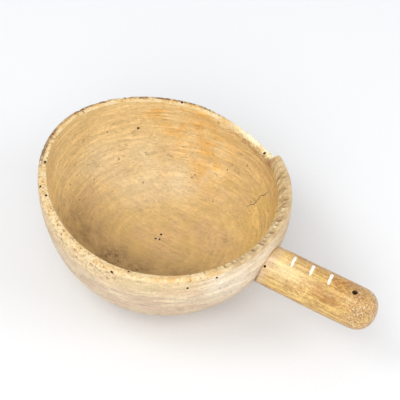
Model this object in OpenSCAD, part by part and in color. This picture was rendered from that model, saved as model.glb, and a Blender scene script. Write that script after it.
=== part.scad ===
// Carved wooden kuksa: an oval drinking bowl with a round stick handle let into its wall.
// The bowl stands on a small flat foot at z = 0. The origin is the foot's centre, +X runs along
// the handle to its tip and +Z is up. All sizes are in millimetres and all angles in degrees.

/* [Bowl outside] */
// Outside length of the oval bowl, without the handle
bowl_length = 142; // [134:1:150]
// Outside width of the oval bowl
bowl_width = 136; // [128:1:142]
// How far the oval's long axis is turned away from the handle
bowl_turn = -9; // [-12:1:12]
// How much fuller the oval is on its handle half
bowl_egg = 0.07; // [0:0.01:0.1]
// Mean height of the rim above the foot
rim_height = 62.5; // [58:0.5:68]
// How far the rim dips on the handle side and lifts on the far side
rim_dip_handle = 3.5; // [0:0.5:5]
// How far the rim dips on the +Y side and lifts on the -Y side
rim_dip_side = 2.2; // [0:0.2:4]
// How far the rim lifts at both ends of the oval and dips at both sides
rim_warp = 1.1; // [0:0.1:2]
// Radius of the flat foot, measured along the handle
foot_radius = 27.5; // [24:0.5:32]
// Fullness of the belly: higher is squarer at the waist
belly_power = 2.4; // [2.1:0.1:2.8]

/* [Broken rim] */
// Depth of the old break in the rim
break_depth = 8; // [0:0.5:10]
// Where the break starts with a step, counted round from the handle
break_start = 56; // [50:1:65]
// Where the break has run out
break_end = 103; // [90:1:120]

/* [Bowl inside] */
// Thickness of the wall at the rim
wall = 4.8; // [4:0.1:6]
// Extra thickness of the wall where the handle is let in
handle_wall_extra = 3; // [1:0.5:4]
// Thickness of the wood under the middle of the hollow
floor_thickness = 8; // [7:0.5:12]
// How slowly the hollow narrows below the waist
hollow_power = 2.6; // [2.4:0.1:2.7]
// Squareness of the hollow's lower corner
hollow_corner = 2.4; // [2.1:0.1:2.5]

/* [Handle] */
// Diameter of the handle
handle_d = 23; // [20:0.5:24]
// How far the tip of the handle is from the middle of the bowl
handle_tip = 134; // [120:1:145]
// Height of the handle's axis above the foot
handle_axis = 37; // [34:0.5:40]
// Length of the rounded end
tip_round = 11.5; // [8:0.5:14]
// Squareness of the rounded end
tip_power = 2.3; // [1.8:0.1:2.6]
// Diameter of the tenon in the bowl's wall
tenon_d = 15; // [12:0.5:18]
// Diameter of the hanging hole
hang_hole_d = 3; // [2:0.5:4]
// Distance of the hanging hole from the handle's tip
hang_hole_back = 13; // [12:0.5:20]

/* [Painted marks] */
// Width of a brush stroke
stroke_width = 1.6; // [1:0.1:2.5]
// Length of a brush stroke round the handle
stroke_length = 8.5; // [5:0.5:10]
// Thickness of the paint
paint_thickness = 0.12; // [0.1:0.01:0.3]
// Distance of the first stroke from the handle's tip
stroke_back = 50; // [45:1:54]
// Distance from one stroke to the next
stroke_pitch = 10.5; // [8:0.5:12]

/* [Hidden] */

a = bowl_length / 2;
b = bowl_width / 2;
handle_r = handle_d / 2;
tenon_r = tenon_d / 2;
waist = 0.9;              // the widest level, as a share of the rim's height
rim_lean = 0.01;          // how far the wall leans back in above the waist
break_rise = 0.3;         // power of the break's steep start
break_fade = 1.2;         // power of its slow end
edge = 1;                 // rounding of the rim's two edges
lip_drop = 0.5;           // the rim's inner edge is this much lower than its outer one
thick_mid = 12;           // bearing of the wall's thickest place
thick_spread = 50;        // and how far round the thickening reaches
chamfer_slope = 1.1;      // fall of the inner chamfer for each millimetre inwards
sides = 120;              // points round the bowl
outer_rows = 12;
inner_rows = 12;
tip_rows = 9;
stroke_tilt = 12;         // the strokes lean this far from square to the handle
stroke_bearing = -5;      // and lie this far round from its top, towards -Y
smooth = 96;

// --- the oval in plan -------------------------------------------------------------------------

function oval(t) =
    let(q = t - bowl_turn, x = a * cos(q), y = b * sin(q) * (1 + bowl_egg * cos(q)))
    [x * cos(bowl_turn) - y * sin(bowl_turn), x * sin(bowl_turn) + y * cos(bowl_turn)];

function unit(v) = v / norm(v);

// Direction straight into the wood, square to the oval
function inward(t) =
    let(along = unit(oval(t + 1) - oval(t - 1)))
    [-along.y, along.x];

// --- the rim's height: whole, as it was carved, and with the break taken out --------------------

function share(t) = min(max((t - break_start) / (break_end - break_start), 0), 1);

function broken(t) =
    let(s = share(t), peak = break_rise / (break_rise + break_fade))
    break_depth * pow(s, break_rise) * pow(1 - s, break_fade)
    / (pow(peak, break_rise) * pow(1 - peak, break_fade));

function whole_rim(t) =
    rim_height - rim_dip_handle * cos(t) - rim_dip_side * sin(t) + rim_warp * cos(2 * t);

function rim(t) = whole_rim(t) - broken(t);

// --- the outside: the oval shrinks as a superellipse below the waist ----------------------------

// Depth below the foot at which the belly's curve would close, so that the foot has its radius
foot_share = 1 - pow(foot_radius / a, 2);
closing = waist * rim_height * (1 / pow(foot_share, 1 / belly_power) - 1);

function belly(t, z) =
    let(top = waist * whole_rim(t), rest = whole_rim(t) - top)
    z < top ? sqrt(1 - pow((top - z) / (top + closing), belly_power))
            : 1 - rim_lean * pow((z - top) / rest, 2);

function outer_point(t, z) = [each belly(t, z) * oval(t), z];

function outer_ring(k) =
    [for (i = [0:sides - 1]) let(t = i * 360 / sides)
        outer_point(t, (rim(t) - edge) * k / outer_rows)];

// --- the rim and the inside ---------------------------------------------------------------------

function turned(t) = t > 180 ? t - 360 : t;

function inner_wall(t) =
    wall + handle_wall_extra * exp(-pow((turned(t) - thick_mid) / thick_spread, 2));

// A point that lies inset millimetres into the wood and drop below the rim
function rim_point(t, inset, drop) =
    let(z = rim(t) - drop, p = belly(t, z) * oval(t) + inset * inward(t))
    [p.x, p.y, z];

function rim_ring(inset, drop) =
    [for (i = [0:sides - 1]) rim_point(i * 360 / sides, inset, drop)];

function chamfer_end(t) = lip_drop + edge + chamfer_slope * (inner_wall(t) - wall);

// The hollow shrinks as a superellipse from the waist to its lowest point
function inner_point(t, z) =
    let(full = (1 - rim_lean) * oval(t) + inner_wall(t) * inward(t),
        top = waist * whole_rim(t),
        sunk = max(top - z, 0) / (top - floor_thickness),
        reach = pow(1 - pow(sunk, hollow_power), 1 / hollow_corner))
    [each reach * full, z];

function inner_ring(k) =
    [for (i = [0:sides - 1])
        let(t = i * 360 / sides, top = rim(t) - chamfer_end(t))
        inner_point(t, floor_thickness + (top - floor_thickness) * pow(1 - k / inner_rows, 2))];

// --- solids -------------------------------------------------------------------------------------

function band(j) =
    [for (i = [0:sides - 1])
        let(lo = j * sides, hi = lo + sides, n = (i + 1) % sides)
        each [[lo + i, hi + i, lo + n], [lo + n, hi + i, hi + n]]];

// A closed solid from rings that are listed from the bottom upwards, with flat ends
module lofted(rings) {
    last = (len(rings) - 1) * sides;
    polyhedron(
        points = [for (r = rings) each r],
        faces = [
            [for (i = [0:sides - 1]) i],
            for (j = [0:len(rings) - 2]) each band(j),
            [for (i = [sides - 1:-1:0]) last + i]
        ]);
}

// The bowl before it is hollowed or the handle is let in
module bowl_blank() {
    lofted([for (k = [0:outer_rows]) outer_ring(k), rim_ring(edge, 0)]);
}

module bowl_shell() {
    rings = [
        for (k = [0:outer_rows]) outer_ring(k),
        rim_ring(0.3 * edge, 0.3 * edge),
        rim_ring(edge, 0),
        rim_ring(wall - edge, lip_drop),
        rim_ring(wall, lip_drop + 0.7 * edge),
        for (k = [0:inner_rows - 1]) inner_ring(k)
    ];
    last = len(rings) * sides;
    polyhedron(
        points = [for (r = rings) each r, [0, 0, floor_thickness]],
        faces = [
            [for (i = [0:sides - 1]) i],
            for (j = [0:len(rings) - 2]) each band(j),
            for (i = [0:sides - 1]) [last - sides + i, last, last - sides + (i + 1) % sides]
        ]);
}

// A round bar along the handle's axis, from x0 to x1
module bar(r, x0, x1) {
    translate([x0, 0, handle_axis]) rotate([0, 90, 0]) cylinder(r = r, h = x1 - x0, $fn = smooth);
}

module bowl() {
    color("burlywood") difference() {
        bowl_shell();
        bar(tenon_r, a / 2, handle_tip);
    }
}

// The stick, turned about its axis: straight, then rounded as a superellipse to the tip
module stick() {
    start = handle_tip - tip_round;
    profile = [
        [0, a / 2],
        [handle_r, a / 2],
        for (k = [0:tip_rows - 1])
            let(s = sin(90 * k / tip_rows))
            [handle_r * pow(1 - pow(s, tip_power), 1 / tip_power), start + tip_round * s],
        [0, handle_tip]
    ];
    translate([0, 0, handle_axis]) rotate([0, 90, 0])
        rotate_extrude($fn = smooth) polygon(profile);
}

module handle() {
    color("peru") difference() {
        stick();
        difference() {
            bowl_blank();
            intersection() {
                bowl_shell();
                bar(tenon_r, a / 2, handle_tip);
            }
        }
        translate([handle_tip - hang_hole_back, 0, handle_axis - handle_d])
            cylinder(d = hang_hole_d, h = 2 * handle_d, $fn = smooth);
    }
}

// One stroke of paint: a piece of thin tube on the handle, cut out by a leaning flat bar
module stroke(x) {
    intersection() {
        difference() {
            bar(handle_r + paint_thickness, x - stroke_length, x + stroke_length);
            bar(handle_r, x - 2 * stroke_length, x + 2 * stroke_length);
        }
        translate([x, 0, handle_axis]) rotate([stroke_bearing, 0, 0]) rotate([0, 0, stroke_tilt])
            translate([-stroke_width / 2, -stroke_length / 2, 0])
                cube([stroke_width, stroke_length, handle_d]);
    }
}

module painted_marks() {
    color("white") for (i = [0:2]) stroke(handle_tip - stroke_back + i * stroke_pitch);
}

bowl();
handle();
painted_marks();
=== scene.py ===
import math

import bpy
import numpy as np
from mathutils import Matrix, Vector


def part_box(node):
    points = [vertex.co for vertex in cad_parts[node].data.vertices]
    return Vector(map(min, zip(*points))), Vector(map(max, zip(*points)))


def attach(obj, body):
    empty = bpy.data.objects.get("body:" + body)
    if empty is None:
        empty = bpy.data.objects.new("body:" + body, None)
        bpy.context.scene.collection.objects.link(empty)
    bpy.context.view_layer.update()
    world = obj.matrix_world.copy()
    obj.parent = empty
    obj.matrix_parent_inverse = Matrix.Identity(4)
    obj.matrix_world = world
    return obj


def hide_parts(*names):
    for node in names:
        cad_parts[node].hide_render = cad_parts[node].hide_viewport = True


# A carved wooden kuksa: an oval drinking bowl with a round stick handle let into its wall.
# Shapes are worked out in millimetres, in the frame's own axes, and become metres in solid().
# Bearings are counted in degrees round +Z from the handle, and heights from the foot.

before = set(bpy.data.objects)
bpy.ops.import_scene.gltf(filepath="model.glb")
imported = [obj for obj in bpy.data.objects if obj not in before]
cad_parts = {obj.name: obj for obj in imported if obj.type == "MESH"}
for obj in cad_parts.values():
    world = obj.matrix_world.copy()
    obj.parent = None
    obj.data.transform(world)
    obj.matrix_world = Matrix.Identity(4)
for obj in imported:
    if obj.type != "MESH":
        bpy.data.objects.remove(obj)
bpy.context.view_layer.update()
MM = 0.001

# ---- sizes that the frame gives ------------------------------------------------------------------------

STICK_LOW, STICK_HIGH = [np.array(corner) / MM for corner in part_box("handle")]
PAINT_LOW, PAINT_HIGH = [np.array(corner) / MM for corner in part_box("painted_marks")]
STICK_R = (STICK_HIGH[1] - STICK_LOW[1]) / 2
STICK_AXIS = (STICK_HIGH[2] + STICK_LOW[2]) / 2
STICK_TIP = STICK_HIGH[0]

# ---- the design's driving dimensions, in millimetres and degrees ---------------------------------------

HALF_LENGTH = 71.0
HALF_WIDTH = 68.0
TURN = math.radians(-9)
EGG = 0.07
RIM_HEIGHT = 62.5
DIP_HANDLE = 3.5
DIP_SIDE = 2.2
WARP = 1.1
FOOT_R = 27.5
BELLY_POWER = 2.4
WAIST = 0.9
RIM_LEAN = 0.01
BREAK_DEPTH = 8.0
BREAK_START = 56.0
BREAK_END = 103.0
BREAK_RISE = 0.3
BREAK_FADE = 1.2
WALL = 4.8
WALL_EXTRA = 3.0
THICK_MID = 12.0
THICK_SPREAD = 50.0
LIP_DROP = 0.5
EDGE = 1.0
CHAMFER_SLOPE = 1.1
FLOOR = 8.0
HOLLOW_POWER = 2.6
HOLLOW_CORNER = 2.4
TIP_ROUND = 11.5        # the handle's tip is rounded over this length
TIP_POWER = 2.3
TENON_R = 7.5
HANG_HOLE_R = 1.5
HANG_HOLE_BACK = 13.0
CLOSING = WAIST * RIM_HEIGHT * ((1 - (FOOT_R / HALF_LENGTH) ** 2) ** (-1 / BELLY_POWER) - 1)


# ---- smooth noise, and small helpers -------------------------------------------------------------------


def lattice(ix, iy, iz, seed):
    """A steady pseudo-random number from -1 to 1 for each whole-number point."""
    h = np.sin(ix * 12.9898 + iy * 78.233 + iz * 37.719 + seed * 5.417) * 43758.5453
    return 2 * (h - np.floor(h)) - 1


def noise(x, y, z, seed=0):
    """Value noise: the eight lattice numbers round a point, blended by the smoothstep of its place."""
    x, y, z = np.broadcast_arrays(x, y, z)
    x0, y0, z0 = np.floor(x), np.floor(y), np.floor(z)
    u, v, w = [f * f * (3 - 2 * f) for f in (x - x0, y - y0, z - z0)]
    total = 0
    for dx in (0, 1):
        for dy in (0, 1):
            for dz in (0, 1):
                weight = (u if dx else 1 - u) * (v if dy else 1 - v) * (w if dz else 1 - w)
                total = total + weight * lattice(x0 + dx, y0 + dy, z0 + dz, seed)
    return total


def rough(x, y, z, seed=0, octaves=3):
    """Noise at several scales, each half as wide and half as strong as the one before."""
    return sum(noise(x * 2**k, y * 2**k, z * 2**k, seed + k) / 2**k for k in range(octaves))


def bump(distance):
    """A soft hill: 1 at distance 0, falling to 0 as a bell."""
    return np.exp(-(distance**2))


def smooth(x, low, high):
    """0 below low, 1 above high, with the smoothstep between."""
    s = np.clip((x - low) / (high - low), 0, 1)
    return s * s * (3 - 2 * s)


def bearing(t):
    """The angle t in degrees from -180 to 180."""
    return (np.degrees(t) + 180) % 360 - 180


# ---- the bowl's own shape, as in the design ------------------------------------------------------------


def oval(t):
    """Outline at the waist: an oval turned by TURN, fuller on its handle half."""
    q = t - TURN
    x = HALF_LENGTH * np.cos(q)
    y = HALF_WIDTH * np.sin(q) * (1 + EGG * np.cos(q))
    c, s = math.cos(TURN), math.sin(TURN)
    return np.stack([x * c - y * s, x * s + y * c], -1)


def inward(t):
    """Unit direction into the wood, square to the oval."""
    step = math.radians(1)
    along = oval(t + step) - oval(t - step)
    along /= np.linalg.norm(along, axis=-1, keepdims=True)
    return np.stack([-along[..., 1], along[..., 0]], -1)


def broken(t):
    """Depth of the break at each bearing: a steep power at its start and a slow one at its end."""
    s = np.clip((bearing(t) - BREAK_START) / (BREAK_END - BREAK_START), 0, 1)
    peak = BREAK_RISE / (BREAK_RISE + BREAK_FADE)
    top = peak**BREAK_RISE * (1 - peak) ** BREAK_FADE
    return BREAK_DEPTH * s**BREAK_RISE * (1 - s) ** BREAK_FADE / top


def whole_rim(t):
    """Height of the rim as it was carved: it dips to the handle and to +Y, and is slightly warped."""
    return RIM_HEIGHT - DIP_HANDLE * np.cos(t) - DIP_SIDE * np.sin(t) + WARP * np.cos(2 * t)


def belly(t, z):
    """Share of the oval that the outside reaches at height z: a superellipse below the waist."""
    rim = whole_rim(t)
    top = WAIST * rim
    below = np.sqrt(1 - np.clip((top - z) / (top + CLOSING), 0, 1) ** BELLY_POWER)
    above = 1 - RIM_LEAN * (np.clip(z - top, 0, None) / (rim - top)) ** 2
    return np.where(z < top, below, above)


def outer_wall(t, z):
    """Points of the outside at bearing t and height z."""
    return np.concatenate([belly(t, z)[..., None] * oval(t), z[..., None]], -1)


def wall_at_rim(t):
    """Thickness of the wall below the inner chamfer: more where the handle is let in."""
    return WALL + WALL_EXTRA * bump((bearing(t) - THICK_MID) / THICK_SPREAD)


def hollow(t, z):
    """Share of the mouth that the hollow reaches at height z: a superellipse below the waist."""
    top = WAIST * whole_rim(t)
    sunk = np.clip((top - z) / (top - FLOOR), 0, 1)
    return (1 - sunk**HOLLOW_POWER) ** (1 / HOLLOW_CORNER)


def inner_wall(t, z):
    """Points of the hollow at bearing t and height z."""
    mouth = (1 - RIM_LEAN) * oval(t) + wall_at_rim(t)[..., None] * inward(t)
    return np.concatenate([hollow(t, z)[..., None] * mouth, z[..., None]], -1)


# ---- the bowl's carved surface: wear, tool marks and the broken rim ------------------------------------

BOWL_COLUMNS = 600
FOOT_ROWS = 6
FOOT_DISH = 0.5         # the foot is hollowed by this much in its middle
OUTER_ROWS = 60
EDGE_ROWS = 7
TOP_ROWS = 11
CHAMFER_ROWS = 9
INNER_ROWS = 54

RAW_FALL = 0.8          # the broken face falls this far towards the hollow
RAW_SPLINTER = 0.7      # depth of its splinters
SCAR = (35.5, 53.0, 51.0)
SCAR_REACH = 4.2
GOUGE_PITCH = 4.3       # spacing of the long gouge marks below the rim
CHATTER_SPAN = (-36.0, 56.0)
# Cuts of a knife across the handle side of the mouth, as (bearing, width in degrees, depth)
KNIFE_CUTS = [
    (51, 0.6, 0.4), (47, 0.5, 0.5), (43, 0.8, 0.7), (39.5, 0.6, 0.5), (35.5, 0.5, 0.4), (32, 0.7, 0.7),
    (28.5, 0.5, 0.4), (25, 0.5, 0.5), (22.4, 0.6, 0.8), (19.8, 0.6, 0.7), (16.5, 0.5, 0.4),
    (13.5, 0.6, 0.5), (10.6, 0.7, 0.9), (8, 0.7, 0.9), (2.5, 0.6, 0.6), (-1.5, 0.5, 0.6), (-3.6, 0.6, 0.8),
    (-6, 0.5, 0.7), (-11, 0.6, 0.8), (-14, 0.5, 0.5), (-18, 0.5, 0.5), (-20.5, 0.5, 0.8), (-23, 0.5, 0.9),
    (-27, 0.6, 0.6), (-31, 0.5, 0.4),
]


def worn_break(t):
    """The break with its sharp start rounded off: the mean of its depth at five bearings."""
    return sum(broken(t + math.radians(step)) for step in (-1.8, -0.9, 0, 0.9, 1.8)) / 5


def raw_share(t):
    """1 where the rim's break still shows raw wood, 0 elsewhere."""
    return smooth(worn_break(t), 1.0, 3.5) * (1 - smooth(bearing(t), 76, 92))


def chatter_share(t):
    """1 where a knife was pushed across the handle side of the mouth, 0 elsewhere."""
    low, high = CHATTER_SPAN
    return smooth(bearing(t), low, low + 14) * (1 - smooth(bearing(t), high - 4, high))


def mouth_share(t, kind, below):
    """1 from the rim's top down to some way below it inside, where the knife went. Both ends of that
    band wander with the bearing."""
    wander = noise(bearing(t) / 2.3, 0, 0, 71)
    reach = 8.5 + 4 * noise(bearing(t) / 2.9, 0, 0, 73)
    starts = smooth(kind, 0.22 + 0.14 * wander, 0.5 + 0.14 * wander)
    return starts * (1 - smooth(below, reach - 2.5, reach + 2))


def blade_teeth(t, below):
    """Fine strokes that run down across the mouth's edge: noise, short round it and long down it."""
    return noise(HALF_LENGTH * t / 1.5, below / 7, 0, 15)


def knife_cuts(t, below):
    """How deep the knife's cuts are, in millimetres: bells across the bearing, each leaning by a
    little along its length. The chips it raised are the same bells, moved sideways."""
    turn = bearing(t) + 0.25 * below
    cuts = sum(depth * bump((turn - at) / wide) for at, wide, depth in KNIFE_CUTS)
    chips = sum(depth * bump((turn - at + 2.1 * wide) / wide) for at, wide, depth in KNIFE_CUTS)
    return cuts, chips * smooth(chips, 0.25, 0.6)


def rim_profile(t):
    """Rows over the rim as (inset, drop): a rounded outer edge, a nearly flat top, a rounded inner
    edge and a chamfer down to the wall's full thickness. The broken face falls inwards."""
    raw = raw_share(t)
    worn = EDGE * (1.15 + 0.35 * noise(4 * np.cos(t), 4 * np.sin(t), 0, 3)) * (1 - 0.6 * raw)
    rows = []
    for k in range(EDGE_ROWS):
        a = 0.5 * math.pi * k / EDGE_ROWS
        rows.append((worn * (1 - math.cos(a)), worn * (1 - math.sin(a))))
    for s in np.linspace(0, 1, TOP_ROWS):
        rows.append((worn + s * (WALL - 2 * worn), LIP_DROP * s))
    for k in range(1, EDGE_ROWS + 1):
        a = 0.4 * math.pi * k / EDGE_ROWS
        rows.append((WALL - worn * (1 - math.sin(a)), LIP_DROP + worn * (1 - math.cos(a))))
    inset, drop = [np.concatenate([value + 0 * t for value in column]) for column in zip(*rows)]
    end = np.maximum(LIP_DROP + EDGE + CHAMFER_SLOPE * (wall_at_rim(t) - WALL), drop[-1] + 0.4)
    s = np.linspace(0, 1, CHAMFER_ROWS + 1)[1:, None]
    inset = np.concatenate([inset, inset[-1] + s * (wall_at_rim(t) - inset[-1])])
    drop = np.concatenate([drop, drop[-1] + s * (end - drop[-1])])
    return inset, drop + raw * RAW_FALL * smooth(inset, 0, WALL)


def bowl_sheet():
    """The bowl's skin as rows of points from the middle of the foot, up the outside, over the rim and
    down the hollow to its lowest point, each row running once round. Also each row's kind, from 0
    outside to 1 inside, and its place on the rim from 0 to 1."""
    t = np.arange(BOWL_COLUMNS)[None, :] * 2 * math.pi / BOWL_COLUMNS
    rim = whole_rim(t) - worn_break(t)
    ring = oval(t) * belly(t, 0 * t)[..., None]
    share = np.linspace(0.12, 0.97, FOOT_ROWS)[:, None]
    dished = FOOT_DISH * (1 - share**2)[..., None] + 0 * ring[..., :1]
    foot = np.concatenate([share[..., None] * ring, dished], -1)
    up = np.linspace(0, 1, OUTER_ROWS)[:-1, None]
    height = (rim - EDGE * 1.5) * (0.75 * up + 0.25 * up**0.5)
    outside = outer_wall(np.broadcast_to(t, height.shape), height)
    inset, drop = rim_profile(t)
    z = rim - drop
    across = belly(t, z)[..., None] * oval(t) + inset[..., None] * inward(t)
    top = np.concatenate([across, z[..., None]], -1)
    down = np.linspace(0, 1, INNER_ROWS + 2)[1:-1, None]
    z = FLOOR + (z[-1] - FLOOR) * (1 - down) ** 2 + 0 * t
    inside = inner_wall(np.broadcast_to(t, z.shape), z)
    below = np.zeros(len(foot) + len(outside))
    kind = np.concatenate([below, np.linspace(0, 1, len(top)), np.ones(len(inside))])
    over = np.concatenate([below, np.ones(len(top)), np.zeros(len(inside))])
    return t, np.concatenate([foot, outside, top, inside]), kind, over


def normals_of(sheet):
    """Unit normals of a sheet that closes round its columns, from the slopes along both directions."""
    round_it = np.roll(sheet, -1, 1) - np.roll(sheet, 1, 1)
    n = np.cross(round_it, np.gradient(sheet, axis=0))
    return n / np.maximum(np.linalg.norm(n, axis=-1, keepdims=True), 1e-9)


def bowl_wear(t, p, kind, over):
    """Depth that is cut away at each point: broad hand-carved unevenness everywhere, level scraper
    marks outside, long gouge marks below the rim inside, knife chatter across the handle side of the
    mouth, nibbles along both edges of the rim, and splinters on the broken face."""
    x, y, z = p[..., 0], p[..., 1], p[..., 2]
    raw = raw_share(t)
    chatter = chatter_share(t)
    inside = kind * (1 - over)
    outside = (1 - kind) * (1 - over)
    above_foot = smooth(z, 0.5, 6)
    depth = 0.22 * (1 + noise(x / 26, y / 26, z / 20, 1)) * above_foot
    depth = depth + outside * above_foot * 0.09 * (1 + rough(x / 14, y / 14, z / 2.2, 5))
    below_rim = whole_rim(t) - z
    wave = 0.5 - 0.5 * np.cos(2 * math.pi * below_rim / GOUGE_PITCH + 1.5 * noise(x / 15, y / 15, 0, 8))
    far_side = smooth(-x, -10, 35) * (1 - smooth(below_rim, 22, 34))
    depth = depth + inside * 0.16 * wave * far_side
    depth = depth + inside * 0.12 * (1 + rough(x / 10, y / 10, z / 10, 11, 2))
    teeth = np.clip(blade_teeth(t, below_rim) + 0.1, 0, 1)
    mouth = mouth_share(t, kind, below_rim)
    depth = depth + (0.45 * teeth * chatter + knife_cuts(t, below_rim)[0]) * mouth
    nibble = np.clip(rough(x / 1.6, y / 1.6, z / 1.6, 21, 2) - 0.45, 0, 1)
    depth = depth + over * (1 - raw) * 0.9 * nibble + 2.0 * notches(t, p, kind, over)
    splinter = np.abs(noise(x / 6, y / 0.9, z / 0.9, 31)) + 0.5 * np.abs(noise(x / 3, y / 0.5, z / 0.5, 33))
    depth = depth + over * raw * RAW_SPLINTER * splinter
    distance = np.linalg.norm(p - np.array(SCAR), axis=-1)
    return depth + 0.6 * bump(distance / SCAR_REACH) * kind


def notches(t, p, kind, over):
    """Notches in the outer edge of the rim's far and left side: noise where it passes a threshold."""
    x, y, z = p[..., 0], p[..., 1], p[..., 2]
    deep = np.clip(rough(x / 2.4, y / 2.4, z / 2.4, 25, 2) - 0.22, 0, 1)
    return deep * outer_edge(kind, over) * far_left(t)


def outer_edge(kind, over):
    """1 on the rounded outer edge of the rim."""
    return over * (1 - smooth(kind, 0.14, 0.36))


def dirty_edge(kind, over):
    """1 on the rounded outer edge and the outermost part of the rim's top."""
    return over * (1 - smooth(kind, 0.26, 0.40))


def soiled(t):
    """Where the rim's outer edge is dirtiest: bells across the bearing."""
    return np.clip(sum(dark * bump((bearing(t) % 360 - at) / wide) for at, wide, dark in SOILED), 0, 1)


def far_left(t):
    """1 on the far and the left side of the rim, where its outer edge is chipped and dirty."""
    turn = bearing(t) % 360
    return smooth(turn, 82, 105) * (1 - smooth(turn, 204, 216))


def near_left(t):
    """1 on the near and the left side, where the rim is worn round and pitted."""
    return smooth(bearing(t), -178, -160) * (1 - smooth(bearing(t), -84, -64))


def patches(p, places):
    """The strongest of several soft round patches, each (x, y, z, reach)."""
    return np.max([bump(np.linalg.norm(p - np.array(at[:3]), axis=-1) / at[3]) for at in places], axis=0)


# Dirty stretches of the rim's outer edge, as (bearing, width in degrees, strength)
SOILED = [
    (112, 3, 0.7), (124, 3, 0.6), (130, 2, 0.5), (136.5, 3, 0.7), (147, 3, 0.7), (157, 3, 0.8),
    (161, 2.5, 0.8), (168, 3.5, 1.0), (174, 2.5, 0.8), (179, 2, 0.6), (185, 3, 0.9), (189.5, 2.5, 1.0),
    (194.5, 2.5, 0.8), (199, 2.5, 0.9), (205, 2.5, 0.8), (209, 2, 0.6),
]
# Soft round patches of colour in and on the bowl, each (x, y, z, reach)
STAINS = [
    (-35, 51, 55, 10), (-14, 60, 54, 13), (-27, 56, 44, 11), (-21, 60, 60, 9), (-7, 58, 36, 15),
    (-2, 54, 25, 12),
]
# Places low on the hollow's far side, lightened as painted light, each (x, y, z, reach)
LIT_PLACES = [(-38, 30, 22, 22), (-56, 16, 32, 12), (-18, 40, 17, 13)]
# Places on the hollow's near side, darkened as painted shade, each (x, y, z, reach)
NEAR_SHADE_PLACES = [(-38, -24, 18, 17), (-18, -28, 12, 17), (2, -27, 9, 21), (20, -22, 8, 21), (34, -22, 14, 18)]
GOLD_PLACES = [(40, 38, 24, 14), (46, 22, 24, 14), (54, 30, 40, 10)]
BLEACHED_PLACES = [(66, -24, 47, 15), (70, -8, 52, 12), (60, -36, 52, 10)]
FRECKLED_PLACES = [(-17, -24, 12, 10), (0, -24, 10, 8)]


def bowl_marks(t, p, kind, over):
    """Where each finish shows, from 0 to 1 at each point."""
    inside = kind * np.ones_like(p[..., 0])
    below_rim = whole_rim(t) - p[..., 2]
    distance = np.linalg.norm(p - np.array(SCAR), axis=-1)
    mouth = mouth_share(t, kind, below_rim)
    stroked = smooth(blade_teeth(t, below_rim), 0.0, 0.7) * chatter_share(t)
    darkened = chatter_share(t) * (1 - smooth(kind, 0.42, 0.55))
    return {
        "hollow": inside,
        "rim": over * (1 - smooth(kind, 0.48, 0.78)) * np.ones_like(inside),
        "notch": smooth(notches(t, p, kind, over), 0.02, 0.2),
        "raw": over * raw_share(t) * (1 - smooth(kind, 0.36, 0.52)),
        "ragged": over * raw_share(t) * smooth(kind, 0.3, 0.46),
        "edge": dirty_edge(kind, over) * far_left(t) * (1 - raw_share(t)),
        "soiled": dirty_edge(kind, over) * soiled(t),
        "cut": np.clip((1.1 * knife_cuts(t, below_rim)[0] + 0.6 * stroked) * mouth, 0, 1),
        "chip": np.clip(1.6 * knife_cuts(t, below_rim)[1] * mouth, 0, 1),
        # Painted shade on the step where the break starts.
        "scar_shade": bump(distance / SCAR_REACH) * kind,
        "stain": patches(p, STAINS) * inside,
        # painted light low on the hollow's far side
        "pale": patches(p, LIT_PLACES) * inside,
        # painted shade on the hollow's near side
        "dark": patches(p, NEAR_SHADE_PLACES) * inside,
        "gold": patches(p, GOLD_PLACES) * inside,
        "chatter": chatter_share(t) * mouth,
        "band": (1 - smooth(below_rim, 4, 18)) * (1 - inside),
        # painted light on the upper far wall of the hollow
        "wall": smooth(p[..., 2], 20, 42) * smooth(-p[..., 0], -45, 5) * inside,
        "specked": near_left(t) * (1 - smooth(below_rim, 5, 15)) * (1 - smooth(kind, 0.6, 0.8)),
        "bleached": patches(p, BLEACHED_PLACES) * (1 - inside),
        "tan": over * np.maximum(darkened, 0.8 * bump((bearing(t) - 52) / 9)),
        "steep": 1 - inside * (1 - smooth(p[..., 2], 14, 26)),
        "freckle": patches(p, FRECKLED_PLACES) * inside,
    }


# ---- the handle ----------------------------------------------------------------------------------------

STICK_COLUMNS = 240
END_ROWS = 6
TENON_ROWS = 8
SHOULDER_ROWS = 5
SIDE_ROWS = 110
TIP_ROWS = 30
CREASE = 0.25           # the stick is eased by this much where it meets the bowl
CREASE_LENGTH = 1.2
LET_IN = 0.35           # the shoulder sits this deep, where wear has taken the wall's surface
SHOULDER_SHY = 0.3      # the shoulder stops this far short of the stick's skin
END_SUNK = 0.15         # the tenon's end lies this far below the hollow's surface


def wall_crossing(y, z, surface):
    """Where a line along X at (y, z) meets a wall of the bowl on the handle side: the bearing is
    halved down until the wall's own y agrees, and the wall's x there is the answer."""
    low = np.full(np.shape(y), -0.6)
    high = np.full(np.shape(y), 0.6)
    for _ in range(40):
        middle = (low + high) / 2
        beyond = surface(middle, z)[..., 1] > y
        high = np.where(beyond, middle, high)
        low = np.where(beyond, low, middle)
    return surface((low + high) / 2, z)[..., 0]


def stick_radius(x, phi):
    """Radius of the handle at x and at the angle phi round it: straight, then a superellipse to the
    tip, less the long flats and dents that the knife and wear have left."""
    s = np.clip((x - STICK_TIP + TIP_ROUND) / TIP_ROUND, 0, 1)
    full = STICK_R * (1 - s**TIP_POWER) ** (1 / TIP_POWER)
    cx, cy = np.cos(phi), np.sin(phi)
    flats = 0.22 * noise(2.2 * cx, 2.2 * cy, x / 34, 41)
    dents = 0.10 * rough(4 * cx, 4 * cy, x / 9, 44)
    return full - (flats + dents) * np.minimum(full / STICK_R, 1)


def stick_point(x, r, phi):
    """Points at radius r and angle phi round the handle's axis, phi counted from its top to -Y."""
    return np.stack(np.broadcast_arrays(x, -r * np.sin(phi), STICK_AXIS + r * np.cos(phi)), -1)


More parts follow.
